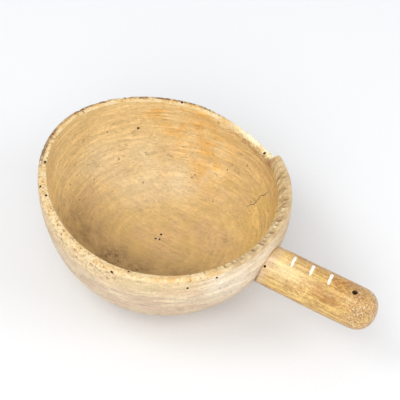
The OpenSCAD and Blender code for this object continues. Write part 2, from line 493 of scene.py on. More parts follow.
def stick_sheet():
    """The handle's skin as rows from the middle of its tenon's end, out through the bowl's wall, over
    the shoulder that fits the wall, and along the stick to the middle of its tip."""
    phi = np.arange(STICK_COLUMNS)[None, :] * 2 * math.pi / STICK_COLUMNS
    rows = []
    for s in np.linspace(0.15, 1, END_ROWS):
        y, z = -s * TENON_R * np.sin(phi), STICK_AXIS + s * TENON_R * np.cos(phi)
        rows.append(stick_point(wall_crossing(y, z, inner_wall) + END_SUNK, s * TENON_R, phi))
    inner = rows[-1][..., 0]
    y, z = -TENON_R * np.sin(phi), STICK_AXIS + TENON_R * np.cos(phi)
    outer = wall_crossing(y, z, outer_wall)
    for s in np.linspace(0, 1, TENON_ROWS + 1)[1:]:
        rows.append(stick_point(inner + s * (outer - LET_IN - inner), TENON_R, phi))
    for s in np.linspace(0, 1, SHOULDER_ROWS + 1)[1:]:
        r = TENON_R + s * (STICK_R - CREASE - SHOULDER_SHY - TENON_R)
        x = wall_crossing(-r * np.sin(phi), STICK_AXIS + r * np.cos(phi), outer_wall)
        rows.append(stick_point(x - LET_IN, r, phi))
    root = rows[-1][..., 0]
    bend = STICK_TIP - TIP_ROUND
    for s in np.linspace(0, 1, SIDE_ROWS + 1)[1:]:
        x = root + (bend - root) * s**1.3
        eased = CREASE * np.exp(-(x - root) / CREASE_LENGTH * 2)
        rows.append(stick_point(x, stick_radius(x, phi) - eased, phi))
    for a in np.linspace(0, 0.5 * math.pi, TIP_ROWS + 1)[1:-1]:
        x = bend + TIP_ROUND * math.sin(a)
        rows.append(stick_point(x, stick_radius(x, phi), phi))
    return phi, np.stack([row[0] for row in rows])


# ---- from sheets of points to meshes -------------------------------------------------------------------


def closed(sheet, start=0):
    """Points and faces of a closed skin from a sheet that closes round its columns. A fan to a pole in
    the middle of the row caps the first and the last row. Points are numbered from start."""
    rows, columns = sheet.shape[:2]
    points = np.vstack([sheet.reshape(-1, 3), sheet[0].mean(0), sheet[-1].mean(0)])
    i = np.arange(columns)
    j = (i + 1) % columns
    base = np.arange(rows - 1)[:, None] * columns
    quads = np.stack([base + i, base + j, base + columns + j, base + columns + i], -1).reshape(-1, 4)
    end = (rows - 1) * columns
    foot = np.stack([np.full(columns, rows * columns), j, i], -1)
    head = np.stack([np.full(columns, rows * columns + 1), end + i, end + j], -1)
    faces = (quads + start).tolist() + (foot + start).tolist() + (head + start).tolist()
    return points, faces


def solid(name, sheets, marks=None):
    """A piece made of closed skins, with its marks as attributes of the first one."""
    points, faces, count = [], [], 0
    for sheet in sheets:
        more, joined = closed(sheet, count)
        points.append(more)
        faces += joined
        count += len(more)
    mesh = bpy.data.meshes.new(name)
    mesh.from_pydata(np.vstack(points) * MM, [], faces)
    mesh.polygons.foreach_set("use_smooth", np.ones(len(mesh.polygons), bool))
    for mark, value in (marks or {}).items():
        flat = np.append(value.reshape(-1), [value[0].mean(), value[-1].mean()]).astype(np.float32)
        mesh.attributes.new(mark, "FLOAT", "POINT").data.foreach_set("value", flat)
    piece = bpy.data.objects.new(name, mesh)
    bpy.context.scene.collection.objects.link(piece)
    return piece


def drill(start, direction, radius, depth, sides=14):
    """A sheet for a round hole's cutter: four rings from just outside the wood to a blunt end, the
    last one narrower."""
    d = np.array(direction, float)
    d /= np.linalg.norm(d)
    u = np.cross(d, [0.3, 0.2, 1.0])
    u /= np.linalg.norm(u)
    v = np.cross(d, u)
    a = np.arange(sides) * 2 * math.pi / sides
    ring = np.cos(a)[:, None] * u + np.sin(a)[:, None] * v
    steps = [(-1.0, 1.12), (0.0, 1.0), (depth, 0.92), (depth + 0.6 * radius, 0.4)]
    return np.stack([np.array(start) + along * d + radius * wide * ring for along, wide in steps])


def cut(piece, groups):
    """Takes cutters away from the piece, in groups of (sheets, material of the cut walls)."""
    cutter = solid("cutter", [sheet for sheets, _ in groups for sheet in sheets])
    kinds = []
    for number, (sheets, material) in enumerate(groups):
        cutter.data.materials.append(material)
        kinds += [np.full(sheet.shape[0] * sheet.shape[1] + sheet.shape[1], number) for sheet in sheets]
    cutter.data.polygons.foreach_set("material_index", np.concatenate(kinds).astype(np.int32))
    tool = piece.modifiers.new("hole", "BOOLEAN")
    tool.object = cutter
    tool.operation = "DIFFERENCE"
    tool.solver = "MANIFOLD"
    tool.material_mode = "TRANSFER"
    graph = bpy.context.evaluated_depsgraph_get()
    carved = bpy.data.meshes.new_from_object(piece.evaluated_get(graph))
    carved.name = piece.name
    piece.modifiers.clear()
    piece.data = carved
    bpy.data.objects.remove(cutter)


# ---- finishes: small helpers for shader nodes ----------------------------------------------------------


class Finish:
    """A material with one Principled shader, and short ways to add the nodes that feed it. A place is
    the piece's own Object coordinate in millimetres."""

    def __init__(self, name, roughness, specular=0.5):
        """A new material with that roughness and specular level, and the place in millimetres."""
        self.material = bpy.data.materials.new(name)
        self.material.use_nodes = True
        self.nodes = self.material.node_tree.nodes
        self.links = self.material.node_tree.links
        self.shader = self.nodes["Principled BSDF"]
        self.shader.inputs["Roughness"].default_value = roughness
        self.shader.inputs["Specular IOR Level"].default_value = specular
        metres = self.nodes.new("ShaderNodeTexCoord").outputs["Object"]
        scaled = self.add("ShaderNodeVectorMath", {0: metres, "Scale": 1 / MM}, operation="SCALE")
        self.place = scaled.outputs[0]

    def add(self, kind, inputs, **settings):
        """A node of that kind. An input that is a socket is linked, and any other is set."""
        node = self.nodes.new(kind)
        for setting, value in settings.items():
            setattr(node, setting, value)
        for key, value in inputs.items():
            if isinstance(value, bpy.types.NodeSocket):
                self.links.new(value, node.inputs[key])
            else:
                node.inputs[key].default_value = value
        return node

    def mark(self, name):
        """The value of one of the piece's marks."""
        return self.add("ShaderNodeAttribute", {}, attribute_name=name).outputs["Fac"]

    def maths(self, operation, a, b=0.0):
        """A sum, product or other operation on one or two values."""
        return self.add("ShaderNodeMath", {0: a, 1: b}, operation=operation).outputs[0]

    def times(self, a, b):
        """a multiplied by b."""
        return self.maths("MULTIPLY", a, b)

    def plus(self, a, b):
        """a added to b."""
        return self.maths("ADD", a, b)

    def span(self, value, low, high, to_low=0.0, to_high=1.0):
        """The value carried from low..high to to_low..to_high, smoothly and without passing them."""
        inputs = {"Value": value, "From Min": low, "From Max": high, "To Min": to_low, "To Max": to_high}
        return self.add("ShaderNodeMapRange", inputs, interpolation_type="SMOOTHSTEP").outputs[0]

    def stretched(self, scale, move=(0, 0, 0)):
        """The place scaled along each axis and then moved."""
        inputs = {"Vector": self.place, "Scale": scale, "Location": move}
        return self.add("ShaderNodeMapping", inputs).outputs[0]

    def noise(self, vector, scale=1.0, detail=3.0, roughness=0.55, distortion=0.0):
        """Cloudy noise from 0 to 1, mostly near its middle, with that many finer scales added."""
        inputs = {"Vector": vector, "Scale": scale, "Detail": detail, "Roughness": roughness}
        inputs["Distortion"] = distortion
        return self.add("ShaderNodeTexNoise", inputs).outputs["Fac"]

    def blend(self, share, a, b, mode="MIX"):
        """Colour a where share is 0 and b where it is 1. Indices 6 and 7 are the node's colours."""
        socket = bpy.types.NodeSocket
        a, b = [colour if isinstance(colour, socket) else (*colour, 1) for colour in (a, b)]
        inputs = {0: share, 6: a, 7: b}
        return self.add("ShaderNodeMix", inputs, data_type="RGBA", blend_type=mode).outputs[2]

    def laid(self, colour, new, *shares):
        """The new colour laid over a colour, as strongly as the product of its shares. A share is a
        mark's name, a value or a number."""
        total = None
        for share in shares:
            share = self.mark(share) if isinstance(share, str) else share
            total = share if total is None else self.times(total, share)
        return self.blend(total, colour, new)

    def tone(self, colour, *shades):
        """The colour multiplied by each grey shade in turn."""
        for shade in shades:
            grey = self.add("ShaderNodeCombineColor", {0: shade, 1: shade, 2: shade}).outputs[0]
            colour = self.blend(1.0, colour, grey, "MULTIPLY")
        return colour

    def relief(self, *patterns):
        """The sum of patterns, each times its strength, as (pattern, strength)."""
        height = 0.0
        for pattern, strength in patterns:
            height = self.plus(height, self.times(pattern, strength))
        return height

    def finish(self, colour, roughness, height, distance):
        """Feeds the shader. Height is in units of distance, which is in millimetres."""
        self.links.new(colour, self.shader.inputs["Base Color"])
        self.links.new(roughness, self.shader.inputs["Roughness"])
        bumps = {"Height": height, "Distance": distance * MM, "Strength": 1.0}
        self.links.new(self.add("ShaderNodeBump", bumps).outputs[0], self.shader.inputs["Normal"])
        return self.material


# ---- finishes: the woods, the paint and the floor ------------------------------------------------------

# The bowl's colours, as plain red, green and blue
OUTSIDE_CREAM = (0.75, 0.605, 0.405)
OUTSIDE_PINK = (0.68, 0.495, 0.345)
BAND_GOLD = (0.84, 0.61, 0.29)
BLEACHED = (0.92, 0.78, 0.60)
INSIDE_YELLOW = (0.735, 0.50, 0.20)
INSIDE_PINK = (0.715, 0.478, 0.225)
# painted light on the hollow's upper far wall
LIT_WALL_CREAM = (0.94, 0.70, 0.345)
# painted light low on the hollow's far side
LIT_PALE_WOOD = (0.83, 0.66, 0.39)
GOLD_WOOD = (0.79, 0.53, 0.165)
BLOOM = (0.92, 0.67, 0.34)
ORANGE_STAIN = (0.84, 0.46, 0.10)
# painted shade on the hollow's near side
SHADE_BROWN = (0.31, 0.195, 0.09)
# The rim's
RIM_GOLD = (0.78, 0.50, 0.19)
RIM_CREAM = (0.92, 0.74, 0.44)
RIM_TAN = (0.54, 0.375, 0.205)
PEELED = (0.58, 0.34, 0.13)
# dirt, and also painted shade in the handle's crease at the bowl
GRIME_AND_SHADE = (0.20, 0.10, 0.045)
KNIFE_BROWN = (0.71, 0.555, 0.285)
CUT_BROWN = (0.36, 0.21, 0.09)
CHIP_YELLOW = (0.97, 0.84, 0.52)
RAW_YELLOW = (1.0, 0.88, 0.48)
RAW_WHITE = (1.0, 0.97, 0.76)
RAGGED_BROWN = (0.42, 0.22, 0.07)
# painted shade on the step where the break starts
SCAR_SHADE_BROWN = (0.42, 0.22, 0.115)
# The handle's
HANDLE_GOLD = (0.86, 0.58, 0.19)
HANDLE_BROWN = (0.50, 0.24, 0.055)
# cream laid as a painted highlight on the handle's side near the bowl
HANDLE_HIGHLIGHT_CREAM = (0.97, 0.79, 0.44)
ROOT_PINK = (0.84, 0.62, 0.42)
UMBER = (0.38, 0.175, 0.05)
RUST = (0.74, 0.38, 0.10)
# also laid evenly on the handle's underside as painted shade
FLECK_AND_SHADE = (0.34, 0.17, 0.06)
TIP_BROWN = (0.26, 0.115, 0.04)
TIP_GOLD = (0.82, 0.52, 0.21)
TIP_CREAM = (0.95, 0.80, 0.52)
TENON_BROWN = (0.52, 0.32, 0.12)
# Walls of deep and of shallow holes, painted dark as the shade in them, the paint and the floor
HOLE_DEEP_SHADE = (0.035, 0.018, 0.008)
HOLE_PALER_SHADE = (0.10, 0.055, 0.025)
PIT_DEEP_SHADE = (0.13, 0.065, 0.025)
PIT_PALER_SHADE = (0.26, 0.14, 0.055)
PAINT_DULL = (0.86, 0.82, 0.70)
PAINT_WHITE = (0.95, 0.94, 0.90)
PAINT_WORN = (0.78, 0.62, 0.36)
FLOOR_GREY = (0.850, 0.861, 0.879)
FLOOR_WHITE = (0.860, 0.871, 0.889)


def level_streaks(wood, pitch, move, detail=4.0):
    """Streaks that run level round the walls, as a scraper and the nearly flat year rings leave them."""
    return wood.noise(wood.stretched((0.045, 0.045, 1 / pitch), move=move), detail=detail, distortion=0.4)


def thin_lines(wood, pattern, width):
    """1 along the thin lines where a pattern passes its middle value."""
    off = wood.maths("ABSOLUTE", wood.plus(pattern, -0.5))
    return wood.span(off, 0.0, width, 1.0, 0.0)


def bowl_colour(wood, mottle):
    """Cream and faintly pink outside, honey gold inside, each turning now yellower, now pinker. Over
    that come the golden band, the upper far wall lightened as painted light, the bleached, gold and
    stained places, the pale places as painted light low on the far side, and the dark places as painted
    shade on the near side of the hollow, most of them patchy."""
    cloud = wood.noise(wood.place, scale=0.045, detail=3.0)
    tint = wood.noise(wood.stretched((0.07, 0.07, 0.16), move=(3, 11, 5)), detail=3.0)
    tint = wood.span(tint, 0.36, 0.62)
    bloom = wood.noise(wood.stretched((0.09, 0.09, 0.13), move=(6, 2, 8)), detail=3.0)
    stained = wood.blend(wood.span(bloom, 0.46, 0.62), ORANGE_STAIN, BLOOM)
    outside = wood.blend(tint, OUTSIDE_PINK, OUTSIDE_CREAM)
    inside = wood.blend(tint, INSIDE_PINK, INSIDE_YELLOW)
    colour = wood.laid(outside, inside, "hollow")
    colour = wood.laid(colour, BAND_GOLD, "band", 0.5)
    # Painted light on the upper far wall of the hollow.
    colour = wood.laid(colour, LIT_WALL_CREAM, "wall", wood.span(cloud, 0.3, 0.65, 0.5, 1.0))
    colour = wood.laid(colour, BLEACHED, "bleached", 0.9)
    # Painted light low on the far side of the hollow.
    colour = wood.laid(colour, LIT_PALE_WOOD, "pale", wood.span(cloud, 0.3, 0.6, 0.45, 0.95))
    colour = wood.laid(colour, GOLD_WOOD, "gold", 0.6)
    colour = wood.laid(colour, stained, "stain", wood.span(mottle, 0.34, 0.56, 0.2, 1.0), 0.72)
    # Painted shade on the near side of the hollow, where its near wall shades it.
    return wood.laid(colour, SHADE_BROWN, "dark", wood.span(mottle, 0.35, 0.6, 0.45, 0.85))


def worn_rim(wood, colour, mottle, speck, fine):
    """The rim over the colour below it: patches of cream and gold, brown crumbs where fine noise
    passes a threshold, the knife's brown on the handle side, and pits and dirt that gather on the
    near and left side."""
    top = wood.blend(wood.span(mottle, 0.40, 0.62), RIM_GOLD, RIM_CREAM)
    colour = wood.laid(colour, top, "rim", 0.85)
    colour = wood.laid(colour, PEELED, "rim", wood.span(fine, 0.53, 0.62), 0.7)
    colour = wood.laid(colour, KNIFE_BROWN, "chatter", wood.span(speck, 0.38, 0.6, 0.95, 0.45))
    colour = wood.laid(colour, RIM_CREAM, "specked", wood.span(speck, 0.54, 0.40), 0.8)
    colour = wood.laid(colour, PEELED, "specked", wood.span(fine, 0.48, 0.60), 0.42)
    gathered = wood.span(wood.noise(wood.place, scale=0.09, detail=2.0), 0.44, 0.62, 0.15, 1.0)
    gathered = wood.maths("MAXIMUM", wood.times(wood.mark("rim"), gathered), wood.mark("specked"))
    return wood.laid(colour, GRIME_AND_SHADE, gathered, wood.span(speck, 0.55, 0.66), 0.85)


def dirty_rim(wood, colour, mottle, speck):
    """Tan on the handle side of the rim, and dirt on its far outer edge: where slow noise passes a
    threshold, at the soiled stretches, and in the notches."""
    colour = wood.laid(colour, RIM_TAN, "tan", wood.span(mottle, 0.35, 0.6, 0.95, 0.5))
    stretches = wood.span(wood.noise(wood.place, scale=0.13, detail=3.0), 0.38, 0.50)
    dirt = wood.times(wood.times(wood.mark("edge"), stretches), wood.span(speck, 0.38, 0.50))
    soiled_dirt = wood.times(wood.mark("soiled"), wood.span(speck, 0.34, 0.48))
    colour = wood.laid(colour, GRIME_AND_SHADE, wood.maths("MAXIMUM", dirt, soiled_dirt), 0.85)
    return wood.laid(colour, GRIME_AND_SHADE, "notch", 0.9)


def cut_rim(wood, colour, speck, fine):
    """Dark knife cuts with bright chips beside them, and the break: pale raw wood with gold patches
    and peeled flecks, a ragged brown border below it, and painted shade on the step at its start."""
    pale = wood.blend(wood.span(speck, 0.4, 0.6), RAW_YELLOW, RAW_WHITE)
    gilded = wood.span(wood.noise(wood.place, scale=0.3, detail=3.0), 0.48, 0.60)
    colour = wood.laid(colour, CHIP_YELLOW, "chip")
    colour = wood.laid(colour, CUT_BROWN, "cut")
    colour = wood.laid(colour, pale, "raw")
    colour = wood.laid(colour, RIM_GOLD, "raw", gilded, 0.6)
    colour = wood.laid(colour, PEELED, "raw", wood.span(fine, 0.54, 0.62), 0.55)
    colour = wood.laid(colour, RAGGED_BROWN, "ragged", wood.span(speck, 0.35, 0.6), 0.8)
    # Painted shade on the step where the break starts.
    return wood.laid(colour, SCAR_SHADE_BROWN, "scar_shade", 0.9)


def bowl_wood(name):
    """Pale hand-carved birch with a matt, dry surface. Its colour is shaded by long and fine fibre,
    level streaks, mottle and specks, darkened at pores, thin lines and freckles, and then the rim
    is laid over it. The same patterns raise its surface."""
    wood = Finish(name, 0.6, 0.35)
    long_fibre = wood.noise(wood.stretched((0.045, 0.6, 0.6)), detail=4.0, distortion=0.5)
    fine_fibre = wood.noise(wood.stretched((0.14, 2.8, 2.8)), detail=3.0)
    level = level_streaks(wood, 2.4, (1, 2, 3))
    fine_level = level_streaks(wood, 0.9, (9, 4, 7), 3.0)
    mottle = wood.noise(wood.place, scale=0.17, detail=4.0, roughness=0.62)
    speck = wood.noise(wood.place, scale=0.62, detail=4.0, roughness=0.65)
    pores = wood.span(wood.noise(wood.stretched((0.35, 2.4, 2.4), move=(7, 3, 5)), detail=2.0), 0.64, 0.72)
    colour = bowl_colour(wood, mottle)
    steep = wood.mark("steep")
    lines = wood.times(wood.times(thin_lines(wood, level, 0.026), wood.span(mottle, 0.40, 0.60)), steep)
    level = wood.plus(0.5, wood.times(wood.plus(level, -0.5), wood.span(steep, 0.0, 1.0, 0.5, 1.0)))
    freckles = wood.times(wood.mark("freckle"), wood.span(speck, 0.5, 0.62))
    colour = wood.tone(
        colour,
        wood.span(long_fibre, 0.3, 0.7, 0.93, 1.04),
        wood.span(fine_fibre, 0.3, 0.7, 0.93, 1.05),
        wood.span(mottle, 0.3, 0.7, 0.93, 1.05),
        wood.span(speck, 0.3, 0.7, 0.93, 1.05),
        wood.span(level, 0.3, 0.7, 0.90, 1.07),
        wood.span(fine_level, 0.3, 0.7, 0.92, 1.05),
        wood.plus(1.0, wood.times(pores, -0.35)),
        wood.plus(1.0, wood.times(lines, -0.4)),
        wood.plus(1.0, wood.times(freckles, -0.65)),
    )
    fine = wood.noise(wood.place, scale=1.1, detail=4.0, roughness=0.72)
    colour = worn_rim(wood, colour, mottle, speck, fine)
    colour = dirty_rim(wood, colour, mottle, speck)
    colour = cut_rim(wood, colour, speck, fine)
    roughness = wood.span(mottle, 0.3, 0.7, 0.48, 0.68)
    grainy = wood.maths("MAXIMUM", wood.mark("rim"), wood.times(wood.mark("specked"), 1.6))
    grainy = wood.times(speck, grainy)
    height = wood.relief(
        (long_fibre, 0.5), (fine_fibre, 0.3), (level, 0.5), (pores, -0.5), (lines, -0.3), (grainy, 0.8)
    )
    return wood.finish(colour, roughness, height, 0.25)


def handle_colour(wood, fibre_or_blotch, mottle, speck):
    """Brown to gold along the fibre, then cream as a painted highlight on the side near the bowl, pink at
    the bowl, umber and rust along the top with painted shade along its far edge, brown flecks on the side,
    and the underside darkened as painted shade."""
    rust = wood.blend(wood.span(speck, 0.42, 0.6), UMBER, RUST)
    colour = wood.blend(wood.span(fibre_or_blotch, 0.40, 0.56), HANDLE_BROWN, HANDLE_GOLD)
    # A painted highlight on the handle's side near the bowl.
    colour = wood.laid(colour, HANDLE_HIGHLIGHT_CREAM, "worn", 0.75)
    colour = wood.laid(colour, ROOT_PINK, "root", wood.span(mottle, 0.4, 0.6, 0.4, 0.9))
    # Umber and rust, with painted shade along the handle's far upper edge.
    colour = wood.laid(colour, rust, "umber_and_shade", wood.span(fibre_or_blotch, 0.60, 0.46, 0.6, 1.0), 0.9)
    colour = wood.laid(colour, FLECK_AND_SHADE, "flecked", wood.span(speck, 0.52, 0.62), 0.6)
    # The underside darkened evenly as painted shade.
    return wood.laid(colour, FLECK_AND_SHADE, "under", 0.65)


def end_colour(wood, colour, blotch, grain):
    """The tip's end grain with pale curls, the tenon, and painted shade in the crease at the bowl, most on
    its underside.
    """
    tip = wood.blend(wood.span(grain, 0.36, 0.60), TIP_BROWN, TIP_GOLD)
    tenon = wood.blend(wood.span(grain, 0.36, 0.6), TENON_BROWN, INSIDE_YELLOW)
    curls = wood.noise(wood.stretched((0.5, 0.9, 0.9), move=(2, 9, 6)), detail=2.0, distortion=1.0)
    colour = wood.laid(colour, tip, "end", wood.span(blotch, 0.38, 0.58, 0.95, 0.35))
    colour = wood.laid(colour, TIP_CREAM, "end", wood.span(curls, 0.58, 0.64), 0.65)
    colour = wood.laid(colour, tenon, "tenon")
    # Painted shade in the crease where the handle meets the bowl.
    return wood.laid(colour, GRIME_AND_SHADE, "crease", 0.7)


def handle_wood(name):
    """A golden stick, polished by the hand. Its colour is shaded by fine fibre, mottle and grain,
    with thin dark lines along the fibre, and the same patterns raise its surface."""
    wood = Finish(name, 0.38, 0.5)
    long_fibre = wood.stretched((0.035, 0.55, 0.55))
    long_fibre = wood.noise(long_fibre, detail=5.0, roughness=0.6, distortion=0.6)
    fine_fibre = wood.noise(wood.stretched((0.12, 2.6, 2.6)), detail=3.0)
    mottle = wood.stretched((0.09, 0.16, 0.16), move=(4, 1, 2))
    mottle = wood.noise(mottle, detail=4.0, roughness=0.62)
    speck = wood.noise(wood.stretched((0.5, 1.0, 1.0)), detail=3.0, roughness=0.6)
    blotch = wood.stretched((0.13, 0.22, 0.22), move=(8, 5, 1))
    blotch = wood.noise(blotch, detail=5.0, roughness=0.68)
    grain = wood.noise(wood.place, scale=1.2, detail=5.0, roughness=0.75)
    lines = wood.times(thin_lines(wood, long_fibre, 0.02), wood.span(mottle, 0.4, 0.6))
    fibre_or_blotch = wood.times(wood.plus(long_fibre, blotch), 0.5)
    colour = handle_colour(wood, fibre_or_blotch, mottle, speck)
    colour = end_colour(wood, colour, blotch, grain)
    colour = wood.tone(
        colour,
        wood.span(fine_fibre, 0.3, 0.7, 0.90, 1.06),
        wood.span(mottle, 0.3, 0.7, 0.83, 1.13),
        wood.span(grain, 0.3, 0.7, 0.82, 1.12),
        wood.plus(1.0, wood.times(lines, -0.35)),
    )
    roughness = wood.span(mottle, 0.3, 0.7, 0.28, 0.46)
    end_grain = wood.times(grain, wood.mark("end"))
    height = wood.relief((long_fibre, 0.6), (fine_fibre, 0.25), (end_grain, 0.9), (lines, -0.4))
    return wood.finish(colour, roughness, height, 0.2)


def hole_wood(name, deep, paler_colour):
    """The wall of each hole, pit and crack in the wood, painted dark as the shade in it, patchy between its
    two colours.
    """
    wood = Finish(name, 0.9, 0.2)
    patchiness = wood.noise(wood.place, scale=2.5, detail=2.0)
    colour = wood.blend(wood.span(patchiness, 0.4, 0.6), deep, paler_colour)
    return wood.finish(colour, wood.span(patchiness, 0.3, 0.7, 0.8, 0.95), patchiness, 0.1)


def brushed_paint(name):
    """Thin white paint that has yellowed slightly and thins out in brush lines."""
    paint = Finish(name, 0.45, 0.5)
    hairs = paint.noise(paint.stretched((3.0, 0.4, 0.4)), detail=2.0)
    wear = paint.noise(paint.place, scale=0.7, detail=3.0)
    colour = paint.blend(paint.span(hairs, 0.3, 0.7), PAINT_DULL, PAINT_WHITE)
    colour = paint.blend(paint.span(wear, 0.62, 0.72), colour, PAINT_WORN)
    return paint.finish(colour, paint.span(wear, 0.3, 0.7, 0.35, 0.55), hairs, 0.05)


def floor_finish(name):
    """A plain, nearly white studio floor with a faint tooth."""
    floor = Finish(name, 0.9, 0.1)
    tooth = floor.noise(floor.place, scale=0.6, detail=2.0)
    colour = floor.blend(floor.span(tooth, 0.3, 0.7), FLOOR_GREY, FLOOR_WHITE)
    return floor.finish(colour, floor.span(tooth, 0.3, 0.7, 0.88, 0.92), tooth, 0.01)


# ---- the pieces ----------------------------------------------------------------------------------------

# Woodworm holes, each (bearing, height, radius) or, on the rim, (bearing, inset, radius)
WORM_RIM = [
    (-152.5, 3.3, 0.75), (-137, 0.6, 0.6), (-131.5, 2.6, 0.7), (111.5, 1.8, 0.7), (64.5, 1.8, 0.75),
    (-72, 3.0, 0.55),
]
WORM_OUTSIDE = [(-79, 61.5, 0.8), (-45.5, 55.5, 0.7), (-32.5, 58, 0.65)]
WORM_INSIDE = [(133.5, 42.5, 0.7), (125, 8.2, 0.7), (152.5, 8.11, 0.6), (136.5, 8.07, 0.6)]
STICK_WORM = (71, 0.8, 0.75)  # (x, angle round the handle, radius)
WORM_DEPTH = 3.6
# Shallow pits in the hollow, each at (bearing, height)
PITS = [
    (175, 42.2), (151, 44.4), (147.5, 27.5), (170, 24.2), (-171.5, 30.9), (-169.5, 23.2), (135.5, 16.8),
    (99.5, 20.5), (101, 19.4), (82, 27.6), (80.5, 31.1), (78.5, 15.2), (71.5, 36.2),
]
MORTISE_ROOM = 0.08     # the mortise is wider than the tenon by this much all round
PIT_R = 0.38
PIT_DEPTH = 0.5
# The crack in the hollow's wall below the break, as (bearing, height)
CRACK = [
    (55.5, 21.5), (54.5, 23.4), (52.8, 24.6), (53.1, 27.5), (53, 30.6), (51.4, 31.6), (50.8, 33.5),
    (49.9, 36), (47.2, 35.5), (46.6, 38.2),
]
CRACK_WIDTH = 0.55
CRACK_DEPTH = 1.4


def worm_cutters():
    """One slanting cutter for each woodworm hole, drilled from the skin into the wood. On the rim it
    leans along the rim, so that it stays inside the wall."""
    cutters = []
    for where, inset, radius in WORM_RIM:
        t = np.array(math.radians(where))
        xy = (1 - RIM_LEAN) * oval(t) + inset * inward(t)
        start = [*xy, float(whole_rim(t) - broken(t)) - 0.3]
        sideways = 0.25 * inward(t)[::-1] * [1, -1]
        cutters.append(drill(start, [*sideways, -1], radius, WORM_DEPTH))
    for where, height, radius in WORM_OUTSIDE:
        t = np.array(math.radians(where))
        start = outer_wall(t, np.array(float(height)))
        cutters.append(drill(start, [*inward(t), -0.2], radius, WORM_DEPTH))
    for where, height, radius in WORM_INSIDE:
        cutters.append(inner_drill(where, height, radius, WORM_DEPTH))
    return cutters


def inner_drill(where, height, radius, depth):
    """A cutter square to the hollow's surface, which turns from level floor to wall as it rises."""
    t = np.array(math.radians(where))
    slope = smooth(height, 8, 30)
    direction = [*(-slope * inward(t)), -1 + 0.9 * slope]
    return drill(inner_wall(t, np.array(float(height))), direction, radius, depth)


def crack_cutter():
    """A thin wedge along the crack: at each of its points a triangle that is wide at the surface and
    sharp in the wood, and narrower towards both ends."""
    where, height = [np.array(part) for part in zip(*CRACK)]
    t = np.radians(where)
    path = inner_wall(t, height)
    normal = np.concatenate([inward(t) * 0.75, np.full((len(t), 1), 0.55)], -1)
    along = np.gradient(path, axis=0)
    along /= np.linalg.norm(along, axis=1, keepdims=True)
    side = np.cross(along, normal)
    width = CRACK_WIDTH * np.sin(np.linspace(0.15, 0.9, len(t)) * math.pi)[:, None]
    lift = normal * 0.8
    ring = [path + lift + side * width, path - normal * CRACK_DEPTH, path + lift - side * width]
    return np.stack(ring, 1)


def make_bowl(wood, dark, brown):
    """The bowl: its sheet is moved inwards along its normals by the wear, and closed. The mortise, the
    worm holes, the crack and the pits are then cut into it."""
    t, sheet, kind, over = bowl_sheet()
    kind, over = kind[:, None], over[:, None]
    skin = sheet - normals_of(sheet) * bowl_wear(t, sheet, kind, over)[..., None]
    skin[..., 2] = np.maximum(skin[..., 2], 0)
    bowl = solid("bowl_carved", [skin], bowl_marks(t, sheet, kind, over))
    bowl.data.materials.append(wood)
    mortise = drill([HALF_LENGTH / 2, 0, STICK_AXIS], [1, 0, 0], TENON_R + MORTISE_ROOM, HALF_LENGTH, 96)
    pits = [inner_drill(where, height, PIT_R, PIT_DEPTH) for where, height in PITS]
    cut(bowl, [([mortise, *worm_cutters()], dark), ([crack_cutter(), *pits], brown)])
    return bowl


def stick_marks(phi, sheet):
    """Where the handle's finishes show: a painted highlight near the bowl, umber along the top with painted
    shade on its far edge, flecks on the side, painted shade on the underside, the end grain and painted
    shade in the crease at the bowl."""
    x = sheet[..., 0]
    around = phi_turn(phi) + 0 * x
    shoulder = wall_crossing(sheet[..., 1], sheet[..., 2], outer_wall)
    # Along the far upper edge this is painted shade as well as umber; near the hanging hole it is umber.
    top = smooth(x, 72, 84) * bump((around + 0.85) / 1.05)
    top = np.maximum(top, smooth(x, 96, 110) * bump((around + 0.1) / 1.0))
    return {
        # Painted highlight on the side of the handle near the bowl.
        "worn": bump(np.hypot((x - 82) / 14, (around - 0.5) / 0.6)),
        "umber_and_shade": top,
        "flecked": bump((around - 1.2) / 0.6) * smooth(x, 72, 86),
        # Painted shade on the handle's underside.
        "under": 1 - smooth(np.cos(around), -0.55, 0.0),
        "end": smooth(x, STICK_TIP - 22, STICK_TIP - 5),
        # Painted shade in the crease at the bowl, strongest underneath.
        "crease": bump((x - shoulder) / 0.9) * (0.1 + 0.9 * smooth(around, 0.9, 1.6)),
        "root": (1 - smooth(x - shoulder, 1.5, 7)) * smooth(x - shoulder, -2, 0),
        "tenon": 1 - smooth(x - shoulder, -3, -1),
    }


def phi_turn(phi):
    """The angle phi from -pi to pi."""
    return (phi + math.pi) % (2 * math.pi) - math.pi


def make_handle(wood, dark):
    """The handle: its sheet closed, with the hanging hole and one worm hole drilled into it."""
    phi, sheet = stick_sheet()
    handle = solid("handle_carved", [sheet], stick_marks(phi, sheet))
    handle.data.materials.append(wood)
    above = [STICK_TIP - HANG_HOLE_BACK, 0, STICK_AXIS + STICK_R + 1]
    hang = drill(above, [0, 0, -1], HANG_HOLE_R, 2 * STICK_R + 4, 32)
    x, phi, radius = STICK_WORM
    worm = drill(stick_point(x, STICK_R, phi), [0, math.sin(phi), -math.cos(phi)], radius, WORM_DEPTH)
    cut(handle, [([hang, worm], dark)])
    return handle


STROKE_MIDDLE = -0.09   # angle of the strokes' middle round the handle
STROKE_LENGTH = 9.0
STROKE_WIDTH = 1.7
STROKE_LEAN = 0.21
PAINT = 0.12


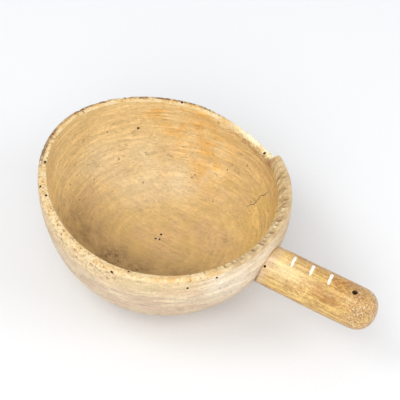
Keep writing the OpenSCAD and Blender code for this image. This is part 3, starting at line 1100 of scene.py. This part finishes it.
def stroke_sheet(middle, number):
    """A brush stroke as a thin closed skin: rows along it, and columns once round its flat section.
    Its half width is a superellipse of the place along it, with a ragged edge."""
    s = np.linspace(-1, 1, 41)[1:-1, None]
    around = np.linspace(0, 2 * math.pi, 24, endpoint=False)[None, :]
    ragged = 1 + 0.22 * noise(7 * s, number * 3.0, np.sign(np.cos(around)), 61)
    half = 0.5 * STROKE_WIDTH * (1 - np.abs(s) ** 5) ** 0.5 * ragged * (1 - 0.18 * s)
    across = half * np.cos(around)
    along = 0.5 * STROKE_LENGTH * s + 0 * around
    x = middle + across * math.cos(STROKE_LEAN) + along * math.sin(STROKE_LEAN)
    arc = along * math.cos(STROKE_LEAN) - across * math.sin(STROKE_LEAN)
    phi = STROKE_MIDDLE + arc / STICK_R
    r = stick_radius(x, phi) + PAINT * np.sin(around) * np.minimum(1, 2 * half / STROKE_WIDTH)
    return stick_point(x, r, phi)


def make_strokes(paint):
    """Three strokes, evenly spaced from the first to the last edge of the paint's box."""
    first, last = PAINT_LOW[0], PAINT_HIGH[0]
    lean = STROKE_LENGTH * math.sin(STROKE_LEAN) / 2
    strokes = []
    for number, middle in enumerate(np.linspace(first + lean, last - lean, 3)):
        stroke = solid(f"painted_stroke_{number + 1}", [stroke_sheet(middle, number)])
        stroke.data.materials.append(paint)
        strokes.append(stroke)
    return strokes


# ---- the studio ----------------------------------------------------------------------------------------

CAMERA_AZIMUTH = math.radians(33.6)
CAMERA_ELEVATION = math.radians(48)
CAMERA_DISTANCE = 0.9
VIEW_WIDTH = 0.2235     # what the view takes in across, at the bowl's middle
BOWL_MIDDLE = (0, 0, 0.030)
AIM_RIGHT = 0.0210      # the camera aims this far right of the bowl's middle, and this far above it
AIM_UP = 0.0116
LIGHTS_AIM = (0.02, 0, 0.03)
FLOOR_HALF = 4.0
WORLD_STRENGTH = 0.67
# Round soft lights, each as (name, place, width in metres, power)
LIGHTS = [
    ("key", (-0.95, -0.75, 1.9), 1.1, 7.7),
    ("front", (0.45, -1.30, 1.30), 1.6, 17.2),
    ("side", (1.5, 0.35, 0.9), 1.2, 6.8),
]


def aim(thing, place, target):
    """Puts a camera or a light at place and turns it to face the target."""
    thing.location = place
    towards = Vector(target) - Vector(place)
    thing.rotation_euler = towards.to_track_quat("-Z", "Y").to_euler()


def make_camera():
    """The camera, at its distance from the bowl's middle along its azimuth and elevation, turned to a
    point to the right of the middle and above it."""
    a, e = CAMERA_AZIMUTH, CAMERA_ELEVATION
    back = Vector((math.sin(a) * math.cos(e), -math.cos(a) * math.cos(e), math.sin(e)))
    right = Vector((math.cos(a), math.sin(a), 0))
    up = back.cross(right)
    middle = Vector(BOWL_MIDDLE)
    aimed = middle + right * AIM_RIGHT + up * AIM_UP
    eye = middle + back * CAMERA_DISTANCE
    away = (eye - aimed).normalized()
    across = up.cross(away).normalized()
    camera = bpy.data.cameras.new("camera")
    camera.lens = camera.sensor_width * CAMERA_DISTANCE / VIEW_WIDTH
    holder = bpy.data.objects.new("camera", camera)
    bpy.context.scene.collection.objects.link(holder)
    turn = Matrix((across, away.cross(across), away)).transposed()
    holder.matrix_world = Matrix.Translation(eye) @ turn.to_4x4()
    bpy.context.scene.camera = holder


def make_light(name, place, size, power):
    """A round white area light that faces the object."""
    light = bpy.data.lights.new(name, "AREA")
    light.shape = "DISK"
    light.size = size
    light.energy = power
    holder = bpy.data.objects.new(name, light)
    bpy.context.scene.collection.objects.link(holder)
    aim(holder, place, LIGHTS_AIM)


def make_studio(finish):
    """A square floor, an even white world and the lights."""
    mesh = bpy.data.meshes.new("floor")
    half = FLOOR_HALF
    corners = [(-half, -half, 0), (half, -half, 0), (half, half, 0), (-half, half, 0)]
    mesh.from_pydata(corners, [], [(0, 1, 2, 3)])
    mesh.materials.append(finish)
    floor = bpy.data.objects.new("floor", mesh)
    bpy.context.scene.collection.objects.link(floor)
    world = bpy.data.worlds.new("studio")
    world.use_nodes = True
    background = world.node_tree.nodes["Background"]
    background.inputs["Color"].default_value = (1, 1, 1, 1)
    background.inputs["Strength"].default_value = WORLD_STRENGTH
    bpy.context.scene.world = world
    for light in LIGHTS:
        make_light(*light)
    bpy.context.scene.view_settings.view_transform = "Standard"


make_camera()
make_studio(floor_finish("floor"))
# Hole and pit walls painted dark as the shade in them.
dark_hole = hole_wood("hole_wall", HOLE_DEEP_SHADE, HOLE_PALER_SHADE)
brown_hole = hole_wood("pit_wall", PIT_DEEP_SHADE, PIT_PALER_SHADE)
bowl = make_bowl(bowl_wood("birch_pale"), dark_hole, brown_hole)
handle = make_handle(handle_wood("birch_golden"), dark_hole)
strokes = make_strokes(brushed_paint("white_paint"))

for piece, node, slot in [(bowl, "bowl", "pale_wood"), (handle, "handle", "golden_wood")]:
    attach(piece, "root")
    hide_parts(node)
for piece in strokes:
    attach(piece, "root")
    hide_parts("painted_marks")
